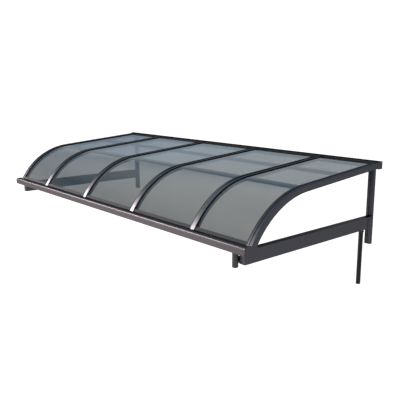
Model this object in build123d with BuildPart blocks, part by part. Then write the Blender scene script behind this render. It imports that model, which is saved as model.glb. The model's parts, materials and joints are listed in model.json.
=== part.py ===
from build123d import *
import os
from math import acos, asin, cos, degrees, radians, sin, sqrt, tan

# Wall-mounted glass canopy with a curved front, in millimetres.
# X runs along the wall, Y points into the wall, Z is up.
# The origin lies on the flat back of the wall header, at mid width and mid height.

# Overall layout; the inner bays share what the two end bays leave
overall_width = 2754.0
projection = 1200.0
end_bay = 448.0
bay_count = 5

# Wall header
header_depth = 35.0
header_height = 49.0
header_wall = 2.5
header_box_depth = 19.0
header_front_drop = 4.0
header_corner_radius = 9.0
header_top_radius = 4.0
header_cap_thickness = 3.0
header_bolt_hole = 7.0
header_bolt_count = 6
header_bolt_margin = 127.0

# Line of the roof's top face, seen from the side
roof_drop_at_header = 6.5
roof_pitch = 4.8
bend_radius = 541.0
foot_height = -303.0
foot_setback = 50.0
foot_overrun = 3.0

# Roof section, measured square to that line
rafter_width = 34.0
end_rafter_width = 40.0
rafter_depth = 35.0
rafter_wall = 1.8
spine_width = 10.0
cap_rise = 7.0
cap_width = 36.0
cap_skin = 1.6
cap_round = 2.4
cap_groove_width = 9.0
cap_groove_depth = 2.2
panel_thickness = 5.0
panel_edge_gap = 2.0
seat_gap = 0.3
header_seat_gap = 0.5
cap_header_gap = 1.0
cut_past = 1.0

# Purlins under the panels
purlin_depth = 30.0
purlin_height = 17.0
purlin_wall = 1.5
purlin_seat_gap = 0.6
upper_purlin_share = 0.486
lower_purlin_past_bend = 10.0

# Filler strips that close the header's mouth between the rafters
filler_thickness = 3.0
filler_setback = 1.0

# Gutter along the front
gutter_lip_rise = 6.0
gutter_depth = 30.0
gutter_drip = 9.0
gutter_round = 14.0
gutter_flange = 32.0
gutter_return = 7.0
gutter_wall = 2.0
gutter_shelf_margin = 1.5
gutter_cap_thickness = 2.5
gutter_cap_round = 8.0

# Rail that holds the lower edge of each panel
foot_rail_lip = 5.0
foot_rail_back = 12.0
foot_rail_wall = 1.8
foot_rail_end_gap = 0.5

# Side arms, the posts on the wall and the saddle brackets between them
arm_width = 42.0
arm_height = 75.0
arm_wall = 2.0
arm_inset = 41.5
arm_setback = 46.0
arm_cap_thickness = 3.0
arm_cap_round = 2.5
post_depth = 22.0
post_wall = 2.0
post_groove_width = 8.0
post_groove_depth = 3.0
post_below_arm = 105.0
post_cap_thickness = 3.0
post_cap_chamfer = 1.0
post_bolt_hole = 7.0
post_bolt_count = 3
post_bolt_margin = 53.0
post_bolt_spacing = 180.0
bracket_wall = 2.0
bracket_reach = 34.0
bracket_margin = 6.0
bracket_wall_gap = 3.0

# Drain from the gutter, along the inside of the right arm and down the wall
pipe_diameter = 30.0
pipe_bore = 26.0
fitting_diameter = 34.0
pipe_fit = 0.2
arm_pipe_gap = 4.5
outlet_setback = 36.0
outlet_flange_diameter = 44.0
outlet_flange_thickness = 3.0
outlet_spigot_diameter = 29.0
outlet_spigot_length = 20.0
outlet_bore = 24.0
run_above_arm_bottom = 15.0
elbow_radius = 26.0
elbow_foot_drop = 38.0
elbow_foot_round = 6.0
elbow_foot_wall = 2.5
socket_rim_diameter = 37.0
run_socket_length = 20.0
drop_socket_length = 24.0
socket_stop = 4.0
downpipe_reach = 36.0
downpipe_drop = 402.0
clip_width = 14.0
clip_wall = 2.0
clip_neck = 8.0
clip_plate_rise = 46.0
front_clip_setback = 340.0
rear_clip_reach = 300.0

# Sizes that follow from the ones above
half_width = overall_width / 2
header_top = header_height / 2
header_bottom = -header_height / 2
header_length = overall_width - 2 * header_cap_thickness
header_bolt_spacing = (overall_width - 2 * header_bolt_margin) / (header_bolt_count - 1)
end_rafter_x = half_width - end_rafter_width / 2
inner_bay = 2 * (end_rafter_x - end_bay) / (bay_count - 2)
inner_rafter_xs = [inner_bay * (i - (bay_count - 2) / 2) for i in range(bay_count - 1)]
rafter_xs = [-end_rafter_x, *inner_rafter_xs, end_rafter_x]
rafter_widths = [end_rafter_width, *[rafter_width] * (bay_count - 1), end_rafter_width]
cap_widths = [end_rafter_width, *[cap_width] * (bay_count - 1), end_rafter_width]
panel_bottom = cap_rise + panel_thickness
body_top = panel_bottom + seat_gap
gutter_front_y = -projection
gutter_top = foot_height + gutter_lip_rise
gutter_floor = foot_height - gutter_depth
arm_outer_x = half_width - arm_inset
arm_inner_x = arm_outer_x - arm_width
arm_x = arm_outer_x - arm_width / 2
arm_front_y = gutter_front_y + arm_setback
arm_top = gutter_floor
arm_bottom = arm_top - arm_height
post_top = header_bottom
post_bottom = arm_bottom - post_below_arm
pipe_x = arm_inner_x - arm_pipe_gap - pipe_diameter / 2
socket_bore = pipe_diameter + 2 * pipe_fit
outlet_y = gutter_front_y + outlet_setback
run_height = arm_bottom + run_above_arm_bottom
downpipe_y = -downpipe_reach
downpipe_bottom = run_height - downpipe_drop

# Roof line in the Y-Z plane: a straight run, then one arc down to the foot.
# The run's length is what brings the arc to foot_height just behind the gutter's front.
pitch = radians(roof_pitch)
line_start = (-header_depth, header_top - roof_drop_at_header)
foot_front = gutter_front_y + foot_setback
reach_y = line_start[0] + bend_radius * sin(pitch) - foot_front
reach_z = foot_height - line_start[1] + bend_radius * cos(pitch)
half_sum = reach_y * cos(pitch) - reach_z * sin(pitch)
straight_run = half_sum - sqrt(half_sum**2 - reach_y**2 - reach_z**2 + bend_radius**2)
line_bend = (
    line_start[0] - straight_run * cos(pitch),
    line_start[1] - straight_run * sin(pitch),
)
bend_centre = (
    line_bend[0] + bend_radius * sin(pitch),
    line_bend[1] - bend_radius * cos(pitch),
)


def line_point(forward, depth=0.0):
    """Point on the straight run, forward of the header's face and set in by depth."""
    y = line_start[0] - forward * cos(pitch) + depth * sin(pitch)
    z = line_start[1] - forward * sin(pitch) - depth * cos(pitch)
    return (y, z)


def line_height(y, depth=0.0):
    """Height of the straight run at y, set in by depth."""
    return line_start[1] - (line_start[0] - y) * tan(pitch) - depth / cos(pitch)


def arc_point(angle, depth=0.0):
    """Point on the arc, set in by depth, where the roof falls at this angle."""
    reach = bend_radius - depth
    return (bend_centre[0] - reach * sin(angle), bend_centre[1] + reach * cos(angle))


def arc_angle(height, depth=0.0):
    """Angle at which the arc, set in by depth, comes down to a height."""
    return acos((height - bend_centre[1]) / (bend_radius - depth))


def foot_point(height, depth):
    """Point on the arc, set in by depth, at a height."""
    return arc_point(arc_angle(height, depth), depth)


overrun_angle = arc_angle(foot_height) + radians(foot_overrun)
arc_middle = (pitch + overrun_angle) / 2
gutter_rear_y = foot_point(foot_height, rafter_depth)[0] + gutter_shelf_margin
gutter_shelf_front = foot_front - gutter_shelf_margin
mouth_floor = line_height(-header_depth, rafter_depth) - seat_gap
mouth_top = line_height(-header_depth + header_wall, cap_rise) + header_seat_gap
mouth_depth = header_depth - header_box_depth - rafter_depth * sin(pitch) - header_seat_gap


def draw_roof_line(forward):
    """Roof line from forward of the header's face to just past the foot."""
    Line(line_point(forward), line_bend)
    ThreePointArc(line_bend, arc_point(arc_middle), arc_point(overrun_angle))


def section_plane(x, forward):
    """Plane square to the roof line: local X along the wall, local Y out of the roof."""
    y, z = line_point(forward)
    return Plane(origin=(x, y, z), x_dir=(1, 0, 0), z_dir=(0, -cos(pitch), -sin(pitch)))


def bar(x_low, x_high, depth_high, depth_low):
    """Rectangle of a roof section between two places along X and two depths."""
    with Locations(((x_low + x_high) / 2, -(depth_high + depth_low) / 2)):
        Rectangle(x_high - x_low, depth_low - depth_high)


os.makedirs("parts", exist_ok=True)


def keep(builder, label):
    """Label a finished piece and write its file."""
    builder.part.label = label
    export_step(builder.part, f"parts/{label}.step")


# Wall header: a box against the wall, with a mouth in front for rafters and panels
def draw_header_outline():
    """Outer shape of the header's end, with its rounded lower rear corner."""
    Polyline(
        (-header_corner_radius, header_bottom),
        (-header_depth, header_bottom),
        (-header_depth, header_top - header_front_drop),
        (-header_box_depth, header_top),
        (-header_top_radius, header_top),
    )
    RadiusArc((-header_top_radius, header_top), (0, header_top - header_top_radius), header_top_radius)
    Line((0, header_top - header_top_radius), (0, header_bottom + header_corner_radius))
    RadiusArc(
        (0, header_bottom + header_corner_radius),
        (-header_corner_radius, header_bottom),
        header_corner_radius,
    )


cut_front = -header_depth - cut_past
with BuildPart() as wall_header:
    with BuildSketch(Plane.YZ.offset(-header_length / 2)):
        with BuildLine():
            draw_header_outline()
        make_face()
        with Locations((-header_box_depth / 2, 0)):
            RectangleRounded(
                header_box_depth - 2 * header_wall,
                header_height - 2 * header_wall,
                header_corner_radius - header_wall,
                mode=Mode.SUBTRACT,
            )
        with BuildLine():
            Polyline(
                (-header_box_depth, mouth_floor),
                (-header_box_depth, header_top - header_wall),
                (-header_depth + header_wall, header_top - header_front_drop - header_wall),
                (-header_depth + header_wall, mouth_top),
                (cut_front, mouth_top),
                (cut_front, mouth_floor),
                close=True,
            )
        make_face(mode=Mode.SUBTRACT)
    extrude(amount=header_length)
    with Locations(Plane(origin=(0, 0, 0), x_dir=(1, 0, 0), z_dir=(0, 1, 0))):
        with GridLocations(header_bolt_spacing, 1, header_bolt_count, 1):
            Cylinder(
                header_bolt_hole / 2,
                header_box_depth,
                align=(Align.CENTER, Align.CENTER, Align.MAX),
                mode=Mode.SUBTRACT,
            )
keep(wall_header, "wall_header")

for side, label in ((-1, "header_end_cap_left"), (1, "header_end_cap_right")):
    with BuildPart() as header_cap:
        with BuildSketch(Plane.YZ.offset(side * header_length / 2)):
            with BuildLine():
                draw_header_outline()
            make_face()
        extrude(amount=side * header_cap_thickness)
    keep(header_cap, label)

# Filler strips between the rafters, under the panels
filler_front = -header_depth + filler_setback
filler_rear = filler_front + filler_thickness
with BuildPart() as header_filler:
    for i in range(bay_count):
        x_low = rafter_xs[i] + rafter_widths[i] / 2 + seat_gap
        x_high = rafter_xs[i + 1] - rafter_widths[i + 1] / 2 - seat_gap
        with BuildSketch(Plane.YZ.offset(x_low)):
            with BuildLine():
                Polyline(
                    (filler_front, mouth_floor),
                    (filler_front, line_height(filler_front, body_top)),
                    (filler_rear, line_height(filler_rear, body_top)),
                    (filler_rear, mouth_floor),
                    close=True,
                )
            make_face()
        extrude(amount=x_high - x_low)
keep(header_filler, "header_filler")

# Rafters: a hollow body under the panels and a spine between them, bent to the roof line
header_face_y = -header_depth - cap_header_gap
for i, x in enumerate(rafter_xs):
    width = rafter_widths[i]
    outward = -1 if i == 0 else 1
    spine_top = cap_skin
    if i in (0, bay_count):
        spine_top = cap_skin + cap_groove_depth
    with BuildPart() as rafter:
        with BuildLine(Plane.YZ.offset(x)) as rafter_line:
            draw_roof_line(-mouth_depth)
        with BuildSketch(section_plane(x, -mouth_depth)):
            bar(-width / 2, width / 2, body_top, rafter_depth)
            bar(-spine_width / 2, spine_width / 2, spine_top, rafter_depth)
            if i in (0, bay_count):
                shoulder = sorted((0, outward * width / 2))
                bar(shoulder[0], shoulder[1], cap_rise, rafter_depth)
            with Locations((0, -(body_top + rafter_depth) / 2)):
                Rectangle(
                    width - 2 * rafter_wall,
                    rafter_depth - body_top - 2 * rafter_wall,
                    mode=Mode.SUBTRACT,
                )
        sweep(path=rafter_line.wire())
        split(bisect_by=Plane.XY.offset(foot_height), keep=Keep.TOP)
        with Locations((x, header_face_y, line_height(-header_depth, cap_rise))):
            Box(
                2 * width,
                header_depth,
                header_height,
                align=(Align.CENTER, Align.MIN, Align.MIN),
                mode=Mode.SUBTRACT,
            )
        if i in (0, bay_count):
            outer_side = Align.MAX if i == 0 else Align.MIN
            with Locations((outward * (header_length / 2 - seat_gap), header_face_y, 0)):
                Box(
                    end_rafter_width,
                    header_depth,
                    header_height,
                    align=(outer_side, Align.MIN, Align.CENTER),
                    mode=Mode.SUBTRACT,
                )
    keep(rafter, f"rafter_{i + 1}")

# Rafter caps: shallow channels over the spines, their lips on the panels' edges;
# the two end caps have a groove along their middle
groove_side = cap_groove_width / 2
for i, x in enumerate(rafter_xs):
    width = cap_widths[i]
    with BuildPart() as rafter_cap:
        with BuildLine(Plane.YZ.offset(x)) as cap_line:
            draw_roof_line(cap_header_gap)
        with BuildSketch(section_plane(x, cap_header_gap)) as cap_section:
            bar(-width / 2, width / 2, 0, cap_rise - seat_gap)
            fillet(cap_section.vertices().group_by(Axis.Y)[-1], cap_round)
            with Locations((0, -(cap_skin + cap_rise) / 2)):
                Rectangle(width - 2 * cap_skin, cap_rise - cap_skin, mode=Mode.SUBTRACT)
            if i in (0, bay_count):
                groove_floor = cap_groove_depth + cap_skin
                bar(-groove_side - cap_skin, groove_side + cap_skin, 0, groove_floor)
                with Locations((0, -cap_groove_depth / 2)):
                    Rectangle(cap_groove_width, cap_groove_depth, mode=Mode.SUBTRACT)
        sweep(path=cap_line.wire())
        split(bisect_by=Plane.XY.offset(foot_height), keep=Keep.TOP)
    keep(rafter_cap, f"rafter_cap_{i + 1}")

# Roof panels: one curved sheet a bay, from the header's mouth to the foot rail
panel_foot = foot_height + foot_rail_wall + seat_gap
for i in range(bay_count):
    x_low = rafter_xs[i] + spine_width / 2 + panel_edge_gap
    x_high = rafter_xs[i + 1] - spine_width / 2 - panel_edge_gap
    x_mid = (x_low + x_high) / 2
    with BuildPart() as panel:
        with BuildLine(Plane.YZ.offset(x_mid)) as panel_line:
            draw_roof_line(-mouth_depth)
        with BuildSketch(section_plane(x_mid, -mouth_depth)):
            bar(x_low - x_mid, x_high - x_mid, cap_rise, panel_bottom)
        sweep(path=panel_line.wire())
        split(bisect_by=Plane.XY.offset(panel_foot), keep=Keep.TOP)
    keep(panel, f"roof_panel_{i + 1}")

# Purlins: square-cut tubes between the rafters, close under the panels
def roof_angle(y):
    """Fall of the roof at y."""
    if y > line_bend[0]:
        return pitch
    return asin((bend_centre[0] - y) / bend_radius)


def roof_top_point(y):
    """Point of the roof's top face at y."""
    if y > line_bend[0]:
        return (y, line_height(y))
    return arc_point(roof_angle(y))


upper_purlin_y = line_start[0] - upper_purlin_share * straight_run * cos(pitch)
lower_purlin_y = line_bend[0] - lower_purlin_past_bend
for y, label in ((upper_purlin_y, "purlin_upper"), (lower_purlin_y, "purlin_lower")):
    angle = roof_angle(y)
    centre_depth = panel_bottom + purlin_seat_gap + purlin_height / 2
    top = roof_top_point(y)
    centre = (top[0] + centre_depth * sin(angle), top[1] - centre_depth * cos(angle))
    with BuildPart() as purlin:
        for i in range(bay_count):
            x_low = rafter_xs[i] + rafter_widths[i] / 2 + seat_gap
            x_high = rafter_xs[i + 1] - rafter_widths[i + 1] / 2 - seat_gap
            with BuildSketch(Plane.YZ.offset(x_low)):
                with Locations(Location(centre, degrees(angle))):
                    Rectangle(purlin_depth, purlin_height)
                    Rectangle(
                        purlin_depth - 2 * purlin_wall,
                        purlin_height - 2 * purlin_wall,
                        mode=Mode.SUBTRACT,
                    )
            extrude(amount=x_high - x_low)
    keep(purlin, label)

# Gutter: an open trough with a rounded front flange, a drip lip and a shelf for the rafters
gutter_length = overall_width - 2 * gutter_cap_thickness
gutter_edge = gutter_front_y + gutter_flange
gutter_inner = gutter_front_y + gutter_wall
gutter_inner_rear = gutter_rear_y - gutter_wall
inner_floor = gutter_floor + gutter_wall
shelf_underside = foot_height - gutter_wall
return_end = gutter_top - gutter_return
drip_end = gutter_floor - gutter_drip


def draw_gutter_front():
    """Outside of the gutter's front, from the drip lip to the rounded top."""
    Line((gutter_front_y, drip_end), (gutter_front_y, gutter_top - gutter_round))
    RadiusArc(
        (gutter_front_y, gutter_top - gutter_round),
        (gutter_front_y + gutter_round, gutter_top),
        gutter_round,
    )


with BuildPart() as front_gutter:
    with BuildSketch(Plane.YZ.offset(-gutter_length / 2)):
        with BuildLine():
            draw_gutter_front()
            Polyline(
                (gutter_front_y + gutter_round, gutter_top),
                (gutter_edge, gutter_top),
                (gutter_edge, return_end),
                (gutter_edge - gutter_wall, return_end),
                (gutter_edge - gutter_wall, gutter_top - gutter_wall),
                (gutter_front_y + gutter_round, gutter_top - gutter_wall),
            )
            RadiusArc(
                (gutter_front_y + gutter_round, gutter_top - gutter_wall),
                (gutter_inner, gutter_top - gutter_round),
                -(gutter_round - gutter_wall),
            )
            Polyline(
                (gutter_inner, gutter_top - gutter_round),
                (gutter_inner, inner_floor),
                (gutter_inner_rear, inner_floor),
                (gutter_inner_rear, shelf_underside),
                (gutter_shelf_front, shelf_underside),
                (gutter_shelf_front, foot_height),
                (gutter_rear_y, foot_height),
                (gutter_rear_y, gutter_floor),
                (gutter_inner, gutter_floor),
                (gutter_inner, drip_end),
                (gutter_front_y, drip_end),
            )
        make_face()
    extrude(amount=gutter_length)
    with Locations((pipe_x, outlet_y, gutter_floor)):
        Cylinder(
            outlet_bore / 2,
            gutter_wall,
            align=(Align.CENTER, Align.CENTER, Align.MIN),
            mode=Mode.SUBTRACT,
        )
keep(front_gutter, "front_gutter")

gutter_cap_step = gutter_shelf_front - gutter_shelf_margin
for side, label in ((-1, "gutter_end_cap_left"), (1, "gutter_end_cap_right")):
    with BuildPart() as gutter_cap:
        with BuildSketch(Plane.YZ.offset(side * gutter_length / 2)) as gutter_cap_outline:
            with BuildLine():
                draw_gutter_front()
                Polyline(
                    (gutter_front_y + gutter_round, gutter_top),
                    (gutter_cap_step, gutter_top),
                    (gutter_cap_step, foot_height),
                    (gutter_rear_y, foot_height),
                    (gutter_rear_y, drip_end),
                    (gutter_front_y, drip_end),
                )
            make_face()
            lowest = gutter_cap_outline.vertices().group_by(Axis.Y)[0]
            fillet(lowest, gutter_cap_round)
        extrude(amount=side * gutter_cap_thickness)
    keep(gutter_cap, label)

# Foot rail: a channel between the rafter caps that holds each panel's lower edge,
# with a low lip in front of the panel and a high one behind it
rail_outer = cap_rise - seat_gap - foot_rail_wall
rail_slot_outer = cap_rise - seat_gap
rail_slot_inner = panel_bottom + seat_gap
rail_inner = rail_slot_inner + foot_rail_wall
lip_top = foot_height + foot_rail_lip
back_top = foot_height + foot_rail_back
slot_floor = foot_height + foot_rail_wall
with BuildPart() as foot_rail:
    for i in range(bay_count):
        x_low = rafter_xs[i] + max(cap_widths[i], rafter_widths[i]) / 2 + foot_rail_end_gap
        x_high = (
            rafter_xs[i + 1]
            - max(cap_widths[i + 1], rafter_widths[i + 1]) / 2
            - foot_rail_end_gap
        )
        with BuildSketch(Plane.YZ.offset(x_low)):
            with BuildLine():
                Polyline(
                    foot_point(foot_height, rail_outer),
                    foot_point(lip_top, rail_outer),
                    foot_point(lip_top, rail_slot_outer),
                    foot_point(slot_floor, rail_slot_outer),
                    foot_point(slot_floor, rail_slot_inner),
                    foot_point(back_top, rail_slot_inner),
                    foot_point(back_top, rail_inner),
                    foot_point(foot_height, rail_inner),
                    close=True,
                )
            make_face()
        extrude(amount=x_high - x_low)
keep(foot_rail, "panel_foot_rail")

# Wall posts, side arms, their end caps and the saddles that join them
arm_rear_y = -post_depth - bracket_wall
for side, name in ((-1, "left"), (1, "right")):
    x = side * arm_x
    with BuildPart() as post:
        with BuildSketch(Plane.XY.offset(post_bottom)):
            with Locations((x, -post_depth / 2)):
                Rectangle(arm_width, post_depth)
            with Locations((x, -post_depth)):
                Rectangle(
                    post_groove_width,
                    2 * post_groove_depth,
                    mode=Mode.SUBTRACT,
                )
            offset(amount=-post_wall, mode=Mode.SUBTRACT)
        extrude(amount=post_top - post_bottom)
        for i in range(post_bolt_count):
            bolt_z = post_bottom + post_bolt_margin + i * post_bolt_spacing
            with Locations(Plane(origin=(x, 0, bolt_z), x_dir=(1, 0, 0), z_dir=(0, 1, 0))):
                Cylinder(
                    post_bolt_hole / 2,
                    post_depth,
                    align=(Align.CENTER, Align.CENTER, Align.MAX),
                    mode=Mode.SUBTRACT,
                )
    keep(post, f"wall_post_{name}")

    with BuildPart() as post_cap:
        with Locations((x, -post_depth / 2, post_bottom)):
            Box(
                arm_width,
                post_depth,
                post_cap_thickness,
                align=(Align.CENTER, Align.CENTER, Align.MAX),
            )
        chamfer(post_cap.edges().group_by(Axis.Z)[0], post_cap_chamfer)
    keep(post_cap, f"post_end_cap_{name}")

    arm_start = arm_front_y + arm_cap_thickness
    with BuildPart() as arm:
        with BuildSketch(Plane.XZ.offset(-arm_start)):
            with Locations((x, (arm_top + arm_bottom) / 2)):
                Rectangle(arm_width, arm_height)
                Rectangle(arm_width - 2 * arm_wall, arm_height - 2 * arm_wall, mode=Mode.SUBTRACT)
        extrude(amount=-(arm_rear_y - arm_start))
    keep(arm, f"side_arm_{name}")

    with BuildPart() as arm_cap:
        with Locations((x, arm_front_y, (arm_top + arm_bottom) / 2)):
            Box(
                arm_width,
                arm_cap_thickness,
                arm_height,
                align=(Align.CENTER, Align.MIN, Align.CENTER),
            )
        front_edges = arm_cap.edges().group_by(Axis.Y)[0].filter_by(Axis.Z)
        fillet(front_edges, arm_cap_round)
    keep(arm_cap, f"arm_end_cap_{name}")

    saddle_height = arm_height - 2 * bracket_margin
    saddle_length = post_depth - bracket_wall_gap + bracket_wall + bracket_reach
    with BuildPart() as saddle:
        with BuildSketch(Plane.XY.offset(arm_bottom + bracket_margin)):
            with Locations((x, -bracket_wall_gap - saddle_length / 2)):
                Rectangle(arm_width + 2 * bracket_wall, saddle_length)
                Rectangle(arm_width, saddle_length, mode=Mode.SUBTRACT)
            with Locations((x, arm_rear_y + bracket_wall / 2)):
                Rectangle(arm_width + 2 * bracket_wall, bracket_wall)
        extrude(amount=saddle_height)
    keep(saddle, f"arm_bracket_{name}")

# Gutter outlet: a flange under the floor with a spigot that enters the first elbow
with BuildPart() as outlet:
    with Locations((pipe_x, outlet_y, gutter_floor)):
        Cylinder(
            outlet_flange_diameter / 2,
            outlet_flange_thickness,
            align=(Align.CENTER, Align.CENTER, Align.MAX),
        )
        Cylinder(
            outlet_spigot_diameter / 2,
            outlet_flange_thickness + outlet_spigot_length,
            align=(Align.CENTER, Align.CENTER, Align.MAX),
        )
        Cylinder(
            outlet_bore / 2,
            outlet_flange_thickness + outlet_spigot_length,
            align=(Align.CENTER, Align.CENTER, Align.MAX),
            mode=Mode.SUBTRACT,
        )
keep(outlet, "gutter_outlet")

# Front elbow: an upright body with a closed, rounded foot and a socket toward the run
drop_start = gutter_floor - outlet_flange_thickness
elbow_foot = run_height - elbow_foot_drop
socket_reach = elbow_radius + run_socket_length
run_start = Plane((pipe_x, outlet_y, run_height), z_dir=(0, 1, 0))
socket_face = Plane((pipe_x, outlet_y + socket_reach, run_height), z_dir=(0, -1, 0))
with BuildPart() as front_elbow:
    with Locations((pipe_x, outlet_y, drop_start)):
        Cylinder(
            fitting_diameter / 2,
            drop_start - elbow_foot,
            align=(Align.CENTER, Align.CENTER, Align.MAX),
        )
    fillet(front_elbow.edges().group_by(Axis.Z)[0], elbow_foot_round)
    with BuildSketch(run_start):
        Circle(fitting_diameter / 2)
    extrude(amount=socket_reach)
    with BuildSketch(run_start.offset(fitting_diameter / 2)):
        Circle(socket_rim_diameter / 2)
    extrude(amount=socket_reach - fitting_diameter / 2)
    with Locations((pipe_x, outlet_y, drop_start)):
        Cylinder(
            pipe_bore / 2,
            drop_start - elbow_foot - elbow_foot_wall,
            align=(Align.CENTER, Align.CENTER, Align.MAX),
            mode=Mode.SUBTRACT,
        )
        Cylinder(
            outlet_spigot_diameter / 2 + pipe_fit,
            outlet_spigot_length + pipe_fit,
            align=(Align.CENTER, Align.CENTER, Align.MAX),
            mode=Mode.SUBTRACT,
        )
    with BuildSketch(run_start):
        Circle(pipe_bore / 2)
    extrude(amount=socket_reach, mode=Mode.SUBTRACT)
    with BuildSketch(socket_face):
        Circle(socket_bore / 2)
    extrude(amount=run_socket_length - socket_stop, mode=Mode.SUBTRACT)
keep(front_elbow, "front_elbow")

# Rear elbow: a bent tube with a wider bore where a pipe enters
drop_end = run_height - elbow_radius - drop_socket_length
run_end = downpipe_y - socket_reach
drop_face = Plane((pipe_x, downpipe_y, drop_end), z_dir=(0, 0, 1))
run_face = Plane((pipe_x, run_end, run_height), z_dir=(0, 1, 0))
with BuildPart() as rear_elbow:
    with BuildLine(Plane.YZ.offset(pipe_x)) as elbow_line:
        FilletPolyline(
            (downpipe_y, drop_end),
            (downpipe_y, run_height),
            (run_end, run_height),
            radius=elbow_radius,
        )
    with BuildSketch(drop_face):
        Circle(fitting_diameter / 2)
        Circle(pipe_bore / 2, mode=Mode.SUBTRACT)
    sweep(path=elbow_line.wire())
    with BuildSketch(drop_face):
        Circle(socket_bore / 2)
    extrude(amount=drop_socket_length - socket_stop, mode=Mode.SUBTRACT)
    with BuildSketch(run_face):
        Circle(socket_bore / 2)
    extrude(amount=run_socket_length - socket_stop, mode=Mode.SUBTRACT)
keep(rear_elbow, "rear_elbow")

# Pipes between and below the elbows
run_front = outlet_y + elbow_radius + socket_stop + seat_gap
run_rear = downpipe_y - elbow_radius - socket_stop - seat_gap
with BuildPart() as drain_run:
    with BuildSketch(Plane((pipe_x, run_front, run_height), z_dir=(0, 1, 0))):
        Circle(pipe_diameter / 2)
        Circle(pipe_bore / 2, mode=Mode.SUBTRACT)
    extrude(amount=run_rear - run_front)
keep(drain_run, "drain_run")

downpipe_top = run_height - elbow_radius - socket_stop - seat_gap
with BuildPart() as downpipe:
    with BuildSketch(Plane.XY.offset(downpipe_bottom)):
        with Locations((pipe_x, downpipe_y)):
            Circle(pipe_diameter / 2)
            Circle(pipe_bore / 2, mode=Mode.SUBTRACT)
    extrude(amount=downpipe_top - downpipe_bottom)
keep(downpipe, "downpipe")

# Clips that hold the drain run to the arm's inner face
clip_ys = {
    "drain_clip_front": gutter_front_y + front_clip_setback,
    "drain_clip_rear": -rear_clip_reach,
}
for label, y in clip_ys.items():
    with BuildPart() as clip:
        with BuildSketch(Plane.XZ.offset(-y)):
            with Locations((pipe_x, run_height)):
                Circle(socket_bore / 2 + clip_wall)
            with Locations((arm_inner_x, run_height)):
                Rectangle(
                    clip_wall,
                    clip_plate_rise,
                    align=(Align.MAX, Align.MIN),
                )
            with Locations((arm_inner_x, run_height)):
                Rectangle(
                    arm_inner_x - pipe_x,
                    clip_neck,
                    align=(Align.MAX, Align.CENTER),
                )
            with Locations((pipe_x, run_height)):
                Circle(socket_bore / 2, mode=Mode.SUBTRACT)
        extrude(amount=clip_width / 2, both=True)
    keep(clip, label)
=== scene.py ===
import json
import math

import bmesh
import bpy
from mathutils import Matrix, Vector

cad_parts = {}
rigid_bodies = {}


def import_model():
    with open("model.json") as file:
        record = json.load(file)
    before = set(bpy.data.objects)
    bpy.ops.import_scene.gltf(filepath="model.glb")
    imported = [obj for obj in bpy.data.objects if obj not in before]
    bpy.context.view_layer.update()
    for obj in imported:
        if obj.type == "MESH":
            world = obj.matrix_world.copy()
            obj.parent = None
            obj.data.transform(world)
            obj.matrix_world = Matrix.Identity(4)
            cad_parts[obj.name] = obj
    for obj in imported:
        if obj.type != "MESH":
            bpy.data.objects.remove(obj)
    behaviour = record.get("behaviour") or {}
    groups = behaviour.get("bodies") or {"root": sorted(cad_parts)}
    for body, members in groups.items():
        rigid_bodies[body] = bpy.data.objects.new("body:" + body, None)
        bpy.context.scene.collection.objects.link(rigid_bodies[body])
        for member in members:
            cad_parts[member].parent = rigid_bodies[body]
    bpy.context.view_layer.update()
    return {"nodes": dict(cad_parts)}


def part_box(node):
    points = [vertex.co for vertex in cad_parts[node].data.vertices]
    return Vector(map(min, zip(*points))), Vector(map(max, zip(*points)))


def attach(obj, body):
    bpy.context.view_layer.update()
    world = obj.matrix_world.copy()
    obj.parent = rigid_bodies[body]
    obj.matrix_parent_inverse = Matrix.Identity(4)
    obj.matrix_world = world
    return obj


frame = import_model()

bl_info = {
    "name": "Curved glass canopy",
    "version": (1, 0, 0),
    "blender": (4, 5, 0),
    "location": "View3D > Sidebar > Canopy",
    "description": "Finishes, seals and fixings of a wall-mounted glass canopy with a curved front",
    "category": "Object",
}

# Metres; X runs along the wall, Y into the wall, Z up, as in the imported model.
bay_count = 5
cap_names = [f"rafter_cap_{i}" for i in range(1, bay_count + 2)]
panel_names = [f"roof_panel_{i}" for i in range(1, bay_count + 1)]


def linear(hex_colour):
    """Linear colour of an sRGB hex value."""
    parts = [int(hex_colour[i : i + 2], 16) / 255 for i in (1, 3, 5)]
    return tuple(c / 12.92 if c <= 0.04045 else ((c + 0.055) / 1.055) ** 2.4 for c in parts)


# Sizes and colours that a user may change


class CanopyRoofLine(bpy.types.PropertyGroup):
    """Line of the roof's top face, seen from the side."""

    pitch: bpy.props.FloatProperty(
        name="Roof pitch",
        description="Fall of the straight part of the roof",
        default=math.radians(4.8),
        subtype="ANGLE",
    )
    bend_radius: bpy.props.FloatProperty(
        name="Bend radius",
        description="Radius of the roof's top face in the bend",
        default=0.541,
        unit="LENGTH",
    )
    start_y: bpy.props.FloatProperty(
        name="Start, Y",
        description="Front face of the wall header",
        default=-0.035,
        unit="LENGTH",
    )
    start_z: bpy.props.FloatProperty(
        name="Start, Z",
        description="Height of the roof's top face at the header",
        default=0.018,
        unit="LENGTH",
    )
    straight_run: bpy.props.FloatProperty(
        name="Straight run",
        description="Length of the straight part of the roof",
        default=0.6977,
        unit="LENGTH",
    )
    foot_z: bpy.props.FloatProperty(
        name="Foot height",
        description="Height at which the roof ends above the gutter",
        default=-0.303,
        unit="LENGTH",
    )
    panel_depth: bpy.props.FloatProperty(
        name="Panel depth",
        description="How far the panels' top face lies below that of the rafter caps",
        default=0.007,
        unit="LENGTH",
    )
    lip_depth: bpy.props.FloatProperty(
        name="Rail lip depth",
        description="How far the foot rail's front lip lies below the rafter caps",
        default=0.0049,
        unit="LENGTH",
    )
    lip_height: bpy.props.FloatProperty(
        name="Rail lip height",
        description="Height of the foot rail's front lip",
        default=0.005,
        unit="LENGTH",
    )


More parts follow.
